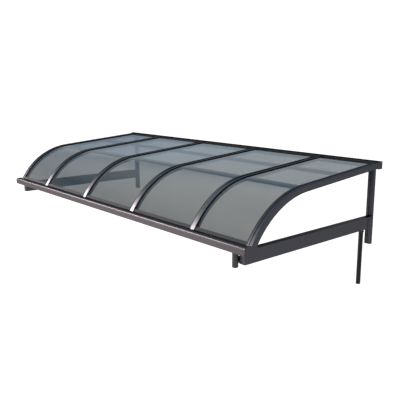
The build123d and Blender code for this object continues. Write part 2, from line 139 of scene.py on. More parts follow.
class CanopySeals(bpy.types.PropertyGroup):
    """Sizes of the rubber seals."""

    # The black cap seals are real gaskets, and their width and height also give the shade beside
    # each cap: partly painted shade.
    cap_width: bpy.props.FloatProperty(
        name="Cap seal width",
        description="Width of the seal that shows beside each rafter cap",
        default=0.005,
        unit="LENGTH",
    )
    cap_height: bpy.props.FloatProperty(
        name="Cap seal height",
        description="Height of that seal above the panel",
        default=0.0052,
        unit="LENGTH",
    )
    # The black header wedge is a real seal, and it also darkens the header's front lip: partly
    # painted shade.
    header_height: bpy.props.FloatProperty(
        name="Header seal height",
        description="Height of the wedge between the panels and the header's front",
        default=0.003,
        unit="LENGTH",
    )
    header_width: bpy.props.FloatProperty(
        name="Header seal width",
        description="Width of that wedge on the panel",
        default=0.003,
        unit="LENGTH",
    )
    foot_thickness: bpy.props.FloatProperty(
        name="Foot seal thickness",
        description="Thickness of the seal that is folded over the foot rail's front lip",
        default=0.0015,
        unit="LENGTH",
    )
    foot_bead: bpy.props.FloatProperty(
        name="Foot seal bead",
        description="Height of that seal above the lip",
        default=0.01,
        unit="LENGTH",
    )


class CanopyFixings(bpy.types.PropertyGroup):
    """Sizes of the screws and of the pipe collars."""

    head_diameter: bpy.props.FloatProperty(
        name="Screw head diameter",
        description="Pan head of the bracket and clip screws",
        default=0.0086,
        unit="LENGTH",
    )
    head_height: bpy.props.FloatProperty(
        name="Screw head height",
        description="Height of the pan head",
        default=0.0026,
        unit="LENGTH",
    )
    collar_width: bpy.props.FloatProperty(
        name="Collar width",
        description="Width of the rim at a pipe socket's end",
        default=0.005,
        unit="LENGTH",
    )
    collar_thickness: bpy.props.FloatProperty(
        name="Collar thickness",
        description="How far that rim stands out",
        default=0.0016,
        unit="LENGTH",
    )


class CanopyColours(bpy.types.PropertyGroup):
    """Colours of the finishes."""

    frame: bpy.props.FloatVectorProperty(
        name="Frame",
        description="Dark bronze anodised aluminium",
        subtype="COLOR",
        default=linear("#45464c"),
    )
    # The inner caps are the frame's anodised aluminium; their lighter colour is a painted highlight
    # that brightens their feet and bends.
    caps: bpy.props.FloatVectorProperty(
        name="Rafter caps",
        description="Dark bronze anodised aluminium, smoother than the frame",
        subtype="COLOR",
        default=linear("#68696d"),
    )
    # The gutter is the frame's anodised aluminium; its redder colour is a painted warm light on its
    # front.
    gutter: bpy.props.FloatVectorProperty(
        name="Gutter",
        description="Dark bronze anodised aluminium, a little redder than the frame",
        subtype="COLOR",
        default=linear("#48464a"),
    )
    glass: bpy.props.FloatVectorProperty(
        name="Panels",
        description="Smoke grey tint of the panels",
        subtype="COLOR",
        default=linear("#828483"),
    )
    moulded: bpy.props.FloatVectorProperty(
        name="End caps",
        description="Metallic bronze lacquer on the ABS caps",
        subtype="COLOR",
        default=linear("#46454a"),
    )
    # The pipes are near black and the fittings grey: partly their own colours, partly painted shade
    # on the pipes under the roof and painted light on the outlet at the front.
    pipe: bpy.props.FloatVectorProperty(
        name="Drain pipes",
        description="Anthracite rigid PVC",
        subtype="COLOR",
        default=linear("#151618"),
    )
    fittings: bpy.props.FloatVectorProperty(
        name="Pipe fittings",
        description="Grey rigid PVC of the outlet, elbows and clips",
        subtype="COLOR",
        default=linear("#3c3b3d"),
    )
    screws: bpy.props.FloatVectorProperty(
        name="Screws",
        description="Blackened stainless steel",
        subtype="COLOR",
        default=linear("#3a3a3f"),
    )
    rubber: bpy.props.FloatVectorProperty(
        name="Black seals",
        description="Black EPDM rubber of the seals beside the rafter caps and at the header",
        subtype="COLOR",
        default=linear("#0e0f11"),
    )
    # The foot seal is grey, lighter than the black seals of the same rubber: a painted light on the
    # strip at the panels' foot.
    foot_rubber_painted_light: bpy.props.FloatVectorProperty(
        name="Grey seals",
        description="Grey EPDM rubber of the seal on the foot rail's lip",
        subtype="COLOR",
        default=linear("#43474a"),
    )


def settings():
    """The four groups of values, as the scene holds them."""
    scene = bpy.context.scene
    return scene.canopy_roof, scene.canopy_seals, scene.canopy_fixings, scene.canopy_colours


# Nodes and materials

# The Mix node's sockets share their names, so they are set and read by number.
mix_factor, mix_value_a, mix_value_b, mix_colour_a, mix_colour_b = 0, 2, 3, 6, 7
mixed_value, mixed_colour = 0, 2


def add_node(tree, kind, inputs=None, **values):
    """Adds a node, gives it its settings, and sets or links its inputs."""
    node = tree.nodes.new(kind)
    for key, value in values.items():
        setattr(node, key, value)
    for key, value in (inputs or {}).items():
        if isinstance(value, bpy.types.NodeSocket):
            tree.links.new(value, node.inputs[key])
        else:
            node.inputs[key].default_value = value
    return node


def new_material(name):
    """A material with an empty tree, and that tree."""
    material = bpy.data.materials.new(name)
    material.use_nodes = True
    material.node_tree.nodes.clear()
    return material, material.node_tree


def shade(colour, factor):
    """A colour made lighter or darker, with full alpha."""
    return (*[min(1.0, part * factor) for part in colour], 1.0)


def satin_metal(name, colour, line, roughness, edge=0.5):
    """A dark satin metal whose lines, clouds and fine etch shift its tone and its gloss.

    line is the size of one line along X, Y and Z. edge is the share of the light that the
    surface gives back where light grazes it."""
    cloud_size, etch_size, line_relief, roughness_shift = 0.11, 0.003, 0.0004, 0.06
    material, tree = new_material(name)
    place = add_node(tree, "ShaderNodeTexCoord").outputs["Object"]
    stretched = add_node(
        tree, "ShaderNodeMapping", {"Vector": place, "Scale": [1 / size for size in line]}
    )
    lines = add_node(
        tree, "ShaderNodeTexNoise", {"Vector": stretched.outputs[0], "Scale": 1.0, "Detail": 3.0}
    )
    cloud = add_node(
        tree, "ShaderNodeTexNoise", {"Vector": place, "Scale": 1 / cloud_size, "Detail": 2.0}
    )
    etch = add_node(
        tree, "ShaderNodeTexNoise", {"Vector": place, "Scale": 1 / etch_size, "Detail": 1.0}
    )
    streaks = add_node(
        tree,
        "ShaderNodeMix",
        {mix_factor: 0.45, mix_value_a: lines.outputs["Fac"], mix_value_b: cloud.outputs["Fac"]},
    )
    pattern = add_node(
        tree,
        "ShaderNodeMix",
        {
            mix_factor: 0.25,
            mix_value_a: streaks.outputs[mixed_value],
            mix_value_b: etch.outputs["Fac"],
        },
    )
    tone = add_node(
        tree,
        "ShaderNodeMix",
        {
            mix_factor: pattern.outputs[mixed_value],
            mix_colour_a: shade(colour, 0.8),
            mix_colour_b: shade(colour, 1.2),
        },
        data_type="RGBA",
    )
    rough = add_node(
        tree,
        "ShaderNodeMapRange",
        {
            "Value": pattern.outputs[mixed_value],
            "From Min": 0.3,
            "From Max": 0.7,
            "To Min": roughness - roughness_shift,
            "To Max": roughness + roughness_shift,
        },
    )
    relief = add_node(
        tree,
        "ShaderNodeBump",
        {"Height": lines.outputs["Fac"], "Strength": 0.12, "Distance": line_relief},
    )
    surface = add_node(
        tree,
        "ShaderNodeBsdfPrincipled",
        {
            "Base Color": tone.outputs[mixed_colour],
            "Roughness": rough.outputs[0],
            "Metallic": 1.0,
            "Normal": relief.outputs[0],
            "Specular Tint": (edge, edge, edge, 1.0),
        },
    )
    add_node(tree, "ShaderNodeOutputMaterial", {"Surface": surface.outputs[0]})
    return material


def anodised(detail, colour, line, roughness, edge=0.5):
    """Anodised aluminium, extruded, etched and dyed: a satin metal that stays dark from above
    and catches a soft light along its rounds, with faint lines along the extrusion. The dye
    takes up light that grazes it.

    Real die lines lie 0.5 mm apart; they are drawn 6 mm apart so that they show. The clouding
    of the dye is about 110 mm across, and the etch, really 0.2 mm, is drawn at 3 mm."""
    return satin_metal(f"anodised aluminium, {detail}", colour, line, roughness, edge)


def moulded_abs(colour):
    """ABS, moulded and lacquered in metallic bronze: it passes for the metal beside it, with a
    fine pebble, drawn at 4 mm to show, in place of the lines."""
    pebble_size = 0.004
    return satin_metal("ABS, moulded, bronze lacquered", colour, (pebble_size,) * 3, 0.42)


def stainless(colour):
    """Stainless steel, cold headed and blackened: darker than the frame, with a small sharp
    glint on its dome and a grain drawn at 3 mm."""
    grain_size = 0.003
    return satin_metal("stainless steel, cold headed, blackened", colour, (grain_size,) * 3, 0.28)


def plastic(name, colour, roughness, grain_size, gloss):
    """A plastic coloured through, with an even grain, faint clouds and little gloss."""
    cloud_size, grain_relief = 0.06, 0.0003
    material, tree = new_material(name)
    place = add_node(tree, "ShaderNodeTexCoord").outputs["Object"]
    grain = add_node(
        tree, "ShaderNodeTexNoise", {"Vector": place, "Scale": 1 / grain_size, "Detail": 2.0}
    )
    cloud = add_node(
        tree, "ShaderNodeTexNoise", {"Vector": place, "Scale": 1 / cloud_size, "Detail": 1.0}
    )
    pattern = add_node(
        tree,
        "ShaderNodeMix",
        {mix_factor: 0.5, mix_value_a: grain.outputs["Fac"], mix_value_b: cloud.outputs["Fac"]},
    )
    tone = add_node(
        tree,
        "ShaderNodeMix",
        {
            mix_factor: pattern.outputs[mixed_value],
            mix_colour_a: shade(colour, 0.85),
            mix_colour_b: shade(colour, 1.15),
        },
        data_type="RGBA",
    )
    relief = add_node(
        tree,
        "ShaderNodeBump",
        {"Height": grain.outputs["Fac"], "Strength": 0.2, "Distance": grain_relief},
    )
    surface = add_node(
        tree,
        "ShaderNodeBsdfPrincipled",
        {
            "Base Color": tone.outputs[mixed_colour],
            "Roughness": roughness,
            "Normal": relief.outputs[0],
            "Specular IOR Level": gloss,
        },
    )
    add_node(tree, "ShaderNodeOutputMaterial", {"Surface": surface.outputs[0]})
    return material


def extruded_pvc(colour):
    """Rigid PVC, extruded: near black with a soft sheen along the pipe, clouded at 5 mm. Its near
    black is partly painted shade on the pipes under the roof.
    """
    return plastic("rigid PVC, extruded, anthracite", colour, 0.36, 0.005, 0.22)


def moulded_pvc(colour):
    """Rigid PVC, moulded: greyer and duller than the pipes that it joins, clouded at 3 mm. Its
    greyer tone is partly painted light on the outlet at the front.
    """
    return plastic("rigid PVC, moulded, grey", colour, 0.42, 0.003, 0.5)


def epdm(tint, colour):
    """EPDM rubber, extruded: dull, with a bloom drawn at 6 mm."""
    return plastic(f"EPDM rubber, extruded, {tint}", colour, 0.65, 0.006, 0.15)


def tinted_glass(colour):
    """Float glass, smoke-tinted and bent: polished faces, a body tint that hides what is
    behind, and rain marks about 90 mm across that dull it a little."""
    mark_size, clean, dulled = 0.09, 0.005, 0.022
    material, tree = new_material("tinted glass, bent, smoke grey")
    place = add_node(tree, "ShaderNodeTexCoord").outputs["Object"]
    marks = add_node(
        tree, "ShaderNodeTexNoise", {"Vector": place, "Scale": 1 / mark_size, "Detail": 3.0}
    )
    tone = add_node(
        tree,
        "ShaderNodeMix",
        {
            mix_factor: marks.outputs["Fac"],
            mix_colour_a: shade(colour, 0.94),
            mix_colour_b: shade(colour, 1.06),
        },
        data_type="RGBA",
    )
    rough = add_node(
        tree,
        "ShaderNodeMapRange",
        {
            "Value": marks.outputs["Fac"],
            "From Min": 0.3,
            "From Max": 0.7,
            "To Min": clean,
            "To Max": dulled,
        },
    )
    surface = add_node(
        tree,
        "ShaderNodeBsdfPrincipled",
        {
            "Base Color": tone.outputs[mixed_colour],
            "Roughness": rough.outputs[0],
            "IOR": 1.5,
            "Transmission Weight": 0.86,
        },
    )
    add_node(tree, "ShaderNodeOutputMaterial", {"Surface": surface.outputs[0]})
    return material


def finish_nodes(names, material):
    """Gives CAD nodes their finish."""
    for name in names:
        node = frame["nodes"][name]
        node.data.materials.clear()
        node.data.materials.append(material)


def both_sides(*names):
    """The names of the left and the right one of each piece."""
    return [f"{name}_{side}" for name in names for side in ("left", "right")]


# Roof line


def bend_centre():
    """Centre (y, z) of the bend."""
    roof = settings()[0]
    bend_y = roof.start_y - roof.straight_run * math.cos(roof.pitch)
    bend_z = roof.start_z - roof.straight_run * math.sin(roof.pitch)
    return (
        bend_y + roof.bend_radius * math.sin(roof.pitch),
        bend_z - roof.bend_radius * math.cos(roof.pitch),
    )


def bend_y_at(depth, z):
    """Y of the bend, set in by depth, at height z."""
    roof = settings()[0]
    centre_y, centre_z = bend_centre()
    reach = roof.bend_radius - depth
    return centre_y - math.sqrt(reach**2 - (z - centre_z) ** 2)


def panel_z_at(y):
    """Height of the panels' top face on the straight run, at y."""
    roof = settings()[0]
    return (
        roof.start_z
        - (roof.start_y - y) * math.tan(roof.pitch)
        - roof.panel_depth / math.cos(roof.pitch)
    )


def roof_line(depth, forward, end_z, steps=44):
    """Points (y, z) of the roof line, set in by depth, from forward of the header to end_z."""
    roof = settings()[0]
    fall_y, fall_z = math.cos(roof.pitch), math.sin(roof.pitch)
    centre_y, centre_z = bend_centre()
    reach = roof.bend_radius - depth
    last = math.acos((end_z - centre_z) / reach)
    points = [
        (
            roof.start_y - forward * fall_y + depth * fall_z,
            roof.start_z - forward * fall_z - depth * fall_y,
        )
    ]
    for i in range(steps + 1):
        angle = roof.pitch + (last - roof.pitch) * i / steps
        points.append((centre_y - reach * math.sin(angle), centre_z + reach * math.cos(angle)))
    return points


def bay_spans():
    """The stretches (low x, high x) between neighbouring rafter caps."""
    boxes = [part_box(name) for name in cap_names]
    return [(left[1][0], right[0][0]) for left, right in zip(boxes, boxes[1:])]


# Meshes and geometry trees


def new_mesh_object(name, vertices, edges, faces):
    """A mesh object in the scene."""
    mesh = bpy.data.meshes.new(name)
    mesh.from_pydata(vertices, edges, faces)
    piece = bpy.data.objects.new(name, mesh)
    bpy.context.scene.collection.objects.link(piece)
    return piece


def settle(piece):
    """Turns the faces outwards, smooths what is nearly flat, and lets the piece ride."""
    weld_distance, sharpest_smooth_edge = 1e-6, math.radians(32)
    form = bmesh.new()
    form.from_mesh(piece.data)
    bmesh.ops.remove_doubles(form, verts=form.verts, dist=weld_distance)
    bmesh.ops.recalc_face_normals(form, faces=form.faces)
    for edge in form.edges:
        edge.smooth = edge.calc_face_angle(math.pi) < sharpest_smooth_edge
    for face in form.faces:
        face.smooth = True
    form.to_mesh(piece.data)
    form.free()
    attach(piece, "root")


def bars_along_wall(name, outline, spans, material):
    """Solid bars of one closed outline (y, z), one for each span along X."""
    vertices, faces = [], []
    count = len(outline)
    for low, high in spans:
        base = len(vertices)
        vertices += [(x, y, z) for x in (low, high) for y, z in outline]
        for i in range(count):
            j = (i + 1) % count
            faces.append((base + i, base + j, base + count + j, base + count + i))
        faces.append(tuple(base + i for i in reversed(range(count))))
        faces.append(tuple(base + count + i for i in range(count)))
    piece = new_mesh_object(name, vertices, [], faces)
    piece.data.materials.append(material)
    settle(piece)


def new_tree(name, inputs):
    """A geometry tree with named inputs; returns it with those inputs and their identifiers."""
    tree = bpy.data.node_groups.new(name, "GeometryNodeTree")
    tree.interface.new_socket(name="Geometry", in_out="OUTPUT", socket_type="NodeSocketGeometry")
    keys = {}
    for label, kind in inputs:
        socket = tree.interface.new_socket(name=label, in_out="INPUT", socket_type=kind)
        keys[label] = socket.identifier
    return tree, add_node(tree, "NodeGroupInput").outputs, keys


def finish_tree(tree, geometry, material):
    """Ends a tree in Realize Instances and Set Material."""
    real = add_node(tree, "GeometryNodeRealizeInstances", {"Geometry": geometry})
    painted = add_node(
        tree, "GeometryNodeSetMaterial", {"Geometry": real.outputs[0], "Material": material}
    )
    add_node(tree, "NodeGroupOutput", {"Geometry": painted.outputs[0]})


def grow(name, base, made, values):
    """Runs a geometry tree on base and keeps the result as a plain mesh."""
    tree, keys = made
    modifier = base.modifiers.new(tree.name, "NODES")
    modifier.node_group = tree
    for label, value in values.items():
        modifier[keys[label]] = value
    bpy.context.view_layer.update()
    evaluated = base.evaluated_get(bpy.context.evaluated_depsgraph_get())
    mesh = bpy.data.meshes.new_from_object(evaluated)
    base.modifiers.clear()
    seeds = base.data
    bpy.data.objects.remove(base)
    bpy.data.meshes.remove(seeds)
    mesh.name = name
    piece = bpy.data.objects.new(name, mesh)
    bpy.context.scene.collection.objects.link(piece)
    settle(piece)


def strip_tree():
    """A solid strip with rounded corners along each line of the mesh that it is given."""
    tree, given, keys = new_tree(
        "strip along a line",
        [
            ("Lines", "NodeSocketGeometry"),
            ("Width", "NodeSocketFloat"),
            ("Height", "NodeSocketFloat"),
            ("Corner", "NodeSocketFloat"),
            ("Material", "NodeSocketMaterial"),
        ],
    )
    path = add_node(tree, "GeometryNodeMeshToCurve", {"Mesh": given["Lines"]})
    section = add_node(
        tree,
        "GeometryNodeCurvePrimitiveQuadrilateral",
        {"Width": given["Height"], "Height": given["Width"]},
    )
    rounded = add_node(
        tree,
        "GeometryNodeFilletCurve",
        {"Curve": section.outputs[0], "Count": 2, "Radius": given["Corner"]},
        mode="POLY",
    )
    strip = add_node(
        tree,
        "GeometryNodeCurveToMesh",
        {"Curve": path.outputs[0], "Profile Curve": rounded.outputs[0], "Fill Caps": True},
    )
    finish_tree(tree, strip.outputs[0], given["Material"])
    return tree, keys


def spread(tree, points, form):
    """Stands a copy of form on each point, its Z along the point's facing, at a random turn."""
    facing = add_node(
        tree,
        "GeometryNodeInputNamedAttribute",
        {"Name": "facing"},
        data_type="FLOAT_VECTOR",
    )
    aimed = add_node(
        tree, "FunctionNodeAlignRotationToVector", {"Vector": facing.outputs[0]}, axis="Z"
    )
    turn = add_node(
        tree, "FunctionNodeRandomValue", {"Min": 0.0, "Max": 1.5, "Seed": 7}, data_type="FLOAT"
    )
    turns = [socket for socket in turn.outputs if socket.enabled]
    spin = add_node(
        tree, "FunctionNodeAxisAngleToRotation", {"Axis": (0, 0, 1), "Angle": turns[0]}
    )
    rotation = add_node(
        tree,
        "FunctionNodeRotateRotation",
        {"Rotation": aimed.outputs[0], "Rotate By": spin.outputs[0]},
        rotation_space="LOCAL",
    )
    return add_node(
        tree,
        "GeometryNodeInstanceOnPoints",
        {"Points": points, "Instance": form, "Rotation": rotation.outputs[0]},
    )


def screw_tree():
    """A pan head with a cross recess on each point."""
    recess_length, recess_width = 0.56, 0.13  # shares of the head's diameter
    tree, given, keys = new_tree(
        "pan head screws",
        [
            ("Points", "NodeSocketGeometry"),
            ("Diameter", "NodeSocketFloat"),
            ("Height", "NodeSocketFloat"),
            ("Material", "NodeSocketMaterial"),
        ],
    )

    # A ball of diameter 1 with its lower half pressed flat, stretched to the head's size
    ball = add_node(
        tree, "GeometryNodeMeshUVSphere", {"Segments": 20, "Rings": 12, "Radius": 0.5}
    )
    place = add_node(tree, "GeometryNodeInputPosition")
    parts = add_node(tree, "ShaderNodeSeparateXYZ", {0: place.outputs[0]})
    lifted = add_node(
        tree, "ShaderNodeMath", {0: parts.outputs[2], 1: 0.0}, operation="MAXIMUM"
    )
    doubled = add_node(
        tree, "ShaderNodeMath", {0: lifted.outputs[0], 1: 2.0}, operation="MULTIPLY"
    )
    stretches = (
        (parts.outputs[0], given["Diameter"]),
        (parts.outputs[1], given["Diameter"]),
        (doubled.outputs[0], given["Height"]),
    )
    moved = add_node(tree, "ShaderNodeCombineXYZ")
    for i, (part, size) in enumerate(stretches):
        stretched = add_node(tree, "ShaderNodeMath", {0: part, 1: size}, operation="MULTIPLY")
        tree.links.new(stretched.outputs[0], moved.inputs[i])
    pan = add_node(
        tree,
        "GeometryNodeSetPosition",
        {"Geometry": ball.outputs[0], "Position": moved.outputs[0]},
    )

    # The recess, cut by two crossed bars at the top of the head
    length, width = (
        add_node(tree, "ShaderNodeMath", {0: given["Diameter"], 1: share}, operation="MULTIPLY")
        for share in (recess_length, recess_width)
    )
    lift = add_node(tree, "ShaderNodeCombineXYZ", {2: given["Height"]})
    head = add_node(
        tree, "GeometryNodeMeshBoolean", {"Mesh 1": pan.outputs[0]}, operation="DIFFERENCE"
    )
    for across, along in ((length, width), (width, length)):
        size = add_node(
            tree,
            "ShaderNodeCombineXYZ",
            {0: across.outputs[0], 1: along.outputs[0], 2: given["Height"]},
        )
        bar = add_node(tree, "GeometryNodeMeshCube", {"Size": size.outputs[0]})
        lifted_bar = add_node(
            tree,
            "GeometryNodeTransform",
            {"Geometry": bar.outputs[0], "Translation": lift.outputs[0]},
        )
        tree.links.new(lifted_bar.outputs[0], head.inputs["Mesh 2"])

    screws = spread(tree, given["Points"], head.outputs[0])
    finish_tree(tree, screws.outputs[0], given["Material"])
    return tree, keys


def collar_tree():
    """A rounded rim round each point."""
    corner_share = 0.3  # of the rim's thickness
    tree, given, keys = new_tree(
        "pipe collars",
        [
            ("Points", "NodeSocketGeometry"),
            ("Radius", "NodeSocketFloat"),
            ("Width", "NodeSocketFloat"),
            ("Thickness", "NodeSocketFloat"),
            ("Material", "NodeSocketMaterial"),
        ],
    )
    ring = add_node(
        tree, "GeometryNodeCurvePrimitiveCircle", {"Resolution": 40, "Radius": given["Radius"]}
    )
    section = add_node(
        tree,
        "GeometryNodeCurvePrimitiveQuadrilateral",
        {"Width": given["Thickness"], "Height": given["Width"]},
    )
    corner = add_node(
        tree, "ShaderNodeMath", {0: given["Thickness"], 1: corner_share}, operation="MULTIPLY"
    )
    rounded = add_node(
        tree,
        "GeometryNodeFilletCurve",
        {"Curve": section.outputs[0], "Count": 2, "Radius": corner.outputs[0]},
        mode="POLY",
    )
    collar = add_node(
        tree,
        "GeometryNodeCurveToMesh",
        {"Curve": ring.outputs[0], "Profile Curve": rounded.outputs[0]},
    )
    collars = spread(tree, given["Points"], collar.outputs[0])
    finish_tree(tree, collars.outputs[0], given["Material"])
    return tree, keys


def facing_points(name, places):
    """A mesh of bare points, each with the way that it faces."""
    base = new_mesh_object(name, [place for place, way in places], [], [])
    facing = base.data.attributes.new("facing", "FLOAT_VECTOR", "POINT")
    for i, (place, way) in enumerate(places):
        facing.data[i].vector = way
    return base


# Operators


class CANOPY_OT_frame(bpy.types.Operator):
    """Give the aluminium pieces their anodised finish"""

    bl_idname = "canopy.frame"
    bl_label = "Finish the frame"

    def execute(self, context):
        colours = settings()[3]
        satin, smoother, smoothest = 0.4, 0.34, 0.3
        dark_edge = 0.05
        # Size of one die line across the extrusion, along it, and along one that is bent
        across, along, bent = 0.006, 0.9, 0.5
        wall_way = (along, across, across)
        bent_way = (across, bent, bent)
        finishes = (
            (
                ["purlin_upper", "purlin_lower", "panel_foot_rail"],
                anodised("lines along the wall", colours.frame, wall_way, satin),
            ),
            (
                both_sides("side_arm"),
                anodised("lines outward", colours.frame, (across, along, across), satin),
            ),
            (
                both_sides("wall_post", "arm_bracket"),
                anodised("lines upright", colours.frame, (across, across, along), satin),
            ),
            (
                [*[f"rafter_{i}" for i in range(1, bay_count + 2)], cap_names[0], cap_names[-1]],
                anodised("bent rafters", colours.frame, bent_way, satin),
            ),
            # The inner caps take the lighter caps colour: a painted highlight on their feet and
            # bends.
            (
                cap_names[1:-1],
                anodised("bent caps with painted highlight", colours.caps, bent_way, smoothest, dark_edge),
            ),
            (
                ["wall_header", "header_filler"],
                anodised("wall header", colours.frame, wall_way, smoother, dark_edge),
            ),
            # The gutter's redder colour is a painted warm light on its front.
            (
                ["front_gutter"],
                anodised("gutter", colours.gutter, wall_way, smoother),
            ),
        )
        for names, material in finishes:
            finish_nodes(names, material)
        return {"FINISHED"}


class CANOPY_OT_plastic(bpy.types.Operator):
    """Give the end caps, elbows and pipes their plastic finish"""

    bl_idname = "canopy.plastic"
    bl_label = "Finish the plastic parts"

    def execute(self, context):
        colours = settings()[3]
        finish_nodes(
            both_sides("header_end_cap", "gutter_end_cap", "arm_end_cap", "post_end_cap"),
            moulded_abs(colours.moulded),
        )
        # The pipes' near black is partly painted shade, the fittings' grey partly painted light.
        finish_nodes(["drain_run", "downpipe"], extruded_pvc(colours.pipe))
        finish_nodes(
            ["gutter_outlet", "front_elbow", "rear_elbow", "drain_clip_front", "drain_clip_rear"],
            moulded_pvc(colours.fittings),
        )
        return {"FINISHED"}


class CANOPY_OT_panels(bpy.types.Operator):
    """Give the roof panels their smoke-tinted finish"""

    bl_idname = "canopy.panels"
    bl_label = "Finish the panels"

    def execute(self, context):
        finish_nodes(panel_names, tinted_glass(settings()[3].glass))
        return {"FINISHED"}


class CANOPY_OT_seals(bpy.types.Operator):
    """Make the rubber seals beside the caps, at the header and at the foot"""

    bl_idname = "canopy.seals"
    bl_label = "Make the seals"

    def execute(self, context):
        colours = settings()[3]
        black = epdm("black", colours.rubber)
        make_cap_seals(black)
        make_header_seal(black)
        # The grey of the foot seal is a painted light on the strip at the panels' foot.
        make_foot_seal(epdm("grey", colours.foot_rubber_painted_light))
        return {"FINISHED"}


def make_cap_seals(material):
    """Two strips on each panel, from the header's seal to the foot's, one beside each cap. They are
    real seals, and their black also stands in for the shade beside the caps: partly painted shade.
    """
    header_gap, corner = 0.0005, 0.0006
    roof, seals = settings()[:2]
    middle_depth = roof.panel_depth - seals.cap_height / 2
    foot = roof.foot_z + roof.lip_height + seals.foot_bead
    line = roof_line(middle_depth, seals.header_width + header_gap, foot)
    vertices, edges = [], []
    for low, high in bay_spans():
        for x in (low + seals.cap_width / 2, high - seals.cap_width / 2):
            base = len(vertices)
            vertices += [(x, y, z) for y, z in line]
            edges += [(base + i, base + i + 1) for i in range(len(line) - 1)]
    grow(
        "cap_seals",
        new_mesh_object("cap seal lines", vertices, edges, []),
        strip_tree(),
        {
            "Width": seals.cap_width,
            "Height": seals.cap_height,
            "Corner": corner,
            "Material": material,
        },
    )


def make_header_seal(material):
    """A blunt wedge in the corner between the panels and the header's front. It is a real seal, and
    its black also darkens the header's front: partly painted shade.
    """
    crown_width, shoulder_inset, shoulder_height, toe_height = 0.0012, 0.0008, 0.0024, 0.0016
    roof, seals = settings()[:2]
    face = roof.start_y
    toe = face - seals.header_width
    top = panel_z_at(face) + seals.header_height
    outline = [
        (face, panel_z_at(face)),
        (face, top),
        (face - crown_width, top),
        (toe + shoulder_inset, panel_z_at(toe) + shoulder_height),
        (toe, panel_z_at(toe) + toe_height),
        (toe, panel_z_at(toe)),
    ]
    bars_along_wall("header_seal", outline, bay_spans(), material)


def make_foot_seal(material):
    """A seal that is folded over the foot rail's front lip, with a bead on the panel above. Its
    grey, lighter than the black seals, is a painted light on the strip at the panels' foot.
    """
    gutter_gap, tip_thickness, shoulder_height = 0.0003, 0.001, 0.0012
    roof, seals = settings()[:2]
    lip_top = roof.foot_z + roof.lip_height
    bead_top = lip_top + seals.foot_bead
    bottom = roof.foot_z + gutter_gap
    outer = roof.lip_depth - seals.foot_thickness
    outline = [
        (roof.lip_depth, bottom),
        (roof.lip_depth, lip_top),
        (roof.panel_depth, lip_top),
        (roof.panel_depth, bead_top),
        (roof.panel_depth - tip_thickness, bead_top),
        (outer, lip_top + shoulder_height),
        (outer, bottom),
    ]
    bars_along_wall(
        "foot_seal",
        [(bend_y_at(depth, z), z) for depth, z in outline],
        bay_spans(),
        material,
    )


class CANOPY_OT_screws(bpy.types.Operator):
    """Make the screws of the saddle brackets and of the drain clips"""

    bl_idname = "canopy.screws"
    bl_label = "Make the screws"

    def execute(self, context):
        fixings, colours = settings()[2:]
        grow(
            "screws",
            facing_points("screw places", bracket_screws() + clip_screws()),
            screw_tree(),
            {
                "Diameter": fixings.head_diameter,
                "Height": fixings.head_height,
                "Material": stainless(colours.screws),
            },
        )
        return {"FINISHED"}


def bracket_screws():
    """Places and facings of four screws in each cheek of the saddle brackets."""
    rear_y, front_inset = -0.012, 0.014
    # Heights over the middle of the arm; the inner ones clear the drain run
    outer_rises, inner_rises = (-0.018, 0.018), (0.007, 0.025)
    places = []
    for name in both_sides("arm_bracket"):
        low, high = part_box(name)
        middle = (low[2] + high[2]) / 2
        for x, way in ((low[0], -1), (high[0], 1)):
            faces_middle = x * way < 0
            for y in (rear_y, low[1] + front_inset):
                for rise in inner_rises if faces_middle else outer_rises:
                    places.append(((x, y, middle + rise), (way, 0, 0)))
    return places


def clip_screws():
    """Places and facings of two screws in the plate of each drain clip."""
    plate_thickness, top_insets = 0.002, (0.008, 0.022)
    plate_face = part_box("side_arm_right")[0][0] - plate_thickness
    places = []
    for name in ("drain_clip_front", "drain_clip_rear"):
        low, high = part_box(name)
        y = (low[1] + high[1]) / 2
        for inset in top_insets:
            places.append(((plate_face, y, high[2] - inset), (-1, 0, 0)))
    return places


class CANOPY_OT_collars(bpy.types.Operator):
    """Make the rims of the pipe sockets"""

    bl_idname = "canopy.collars"
    bl_label = "Make the pipe collars"

    def execute(self, context):
        sunk = 0.0004
        fixings = settings()[2]
        pipe_low, pipe_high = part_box("downpipe")
        pipe_x = (pipe_low[0] + pipe_high[0]) / 2
        drop_y = (pipe_low[1] + pipe_high[1]) / 2
        run_low, run_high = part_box("drain_run")
        run_z = (run_low[2] + run_high[2]) / 2
        front_low, front_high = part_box("front_elbow")
        rear_low, rear_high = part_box("rear_elbow")
        radius = (rear_high[0] - rear_low[0]) / 2
        outlet_y = front_low[1] + radius
        inset = fixings.collar_width / 2
        places = [
            ((pipe_x, outlet_y, front_high[2] - inset), (0, 0, 1)),
            ((pipe_x, rear_low[1] + inset, run_z), (0, 1, 0)),
            ((pipe_x, drop_y, rear_low[2] + inset), (0, 0, 1)),
        ]
        grow(
            "pipe_collars",
            facing_points("collar places", places),
            collar_tree(),
            {
                "Radius": radius + (fixings.collar_thickness - sunk) / 2,
                "Width": fixings.collar_width,
                "Thickness": fixings.collar_thickness + sunk,
                "Material": frame["nodes"]["front_elbow"].data.materials[0],
            },
        )
        return {"FINISHED"}


class CANOPY_OT_stage(bpy.types.Operator):
    """Make the floor, the lights and the camera"""

    bl_idname = "canopy.stage"
    bl_label = "Make the stage"

    def execute(self, context):
        scene = context.scene
        scene.view_settings.view_transform = "Standard"
        make_world(scene)
        make_floor()
        make_lights(scene)
        make_camera(scene)
        return {"FINISHED"}


def seen_directly(tree):
    """1 where the camera, gloss or glass looks, 0 where light falls on the object."""
    path = add_node(tree, "ShaderNodeLightPath")
    seen = path.outputs["Is Camera Ray"]
    for other in ("Is Glossy Ray", "Is Transmission Ray"):
        seen = add_node(
            tree, "ShaderNodeMath", {0: seen, 1: path.outputs[other]}, operation="MAXIMUM"
        ).outputs[0]
    return seen


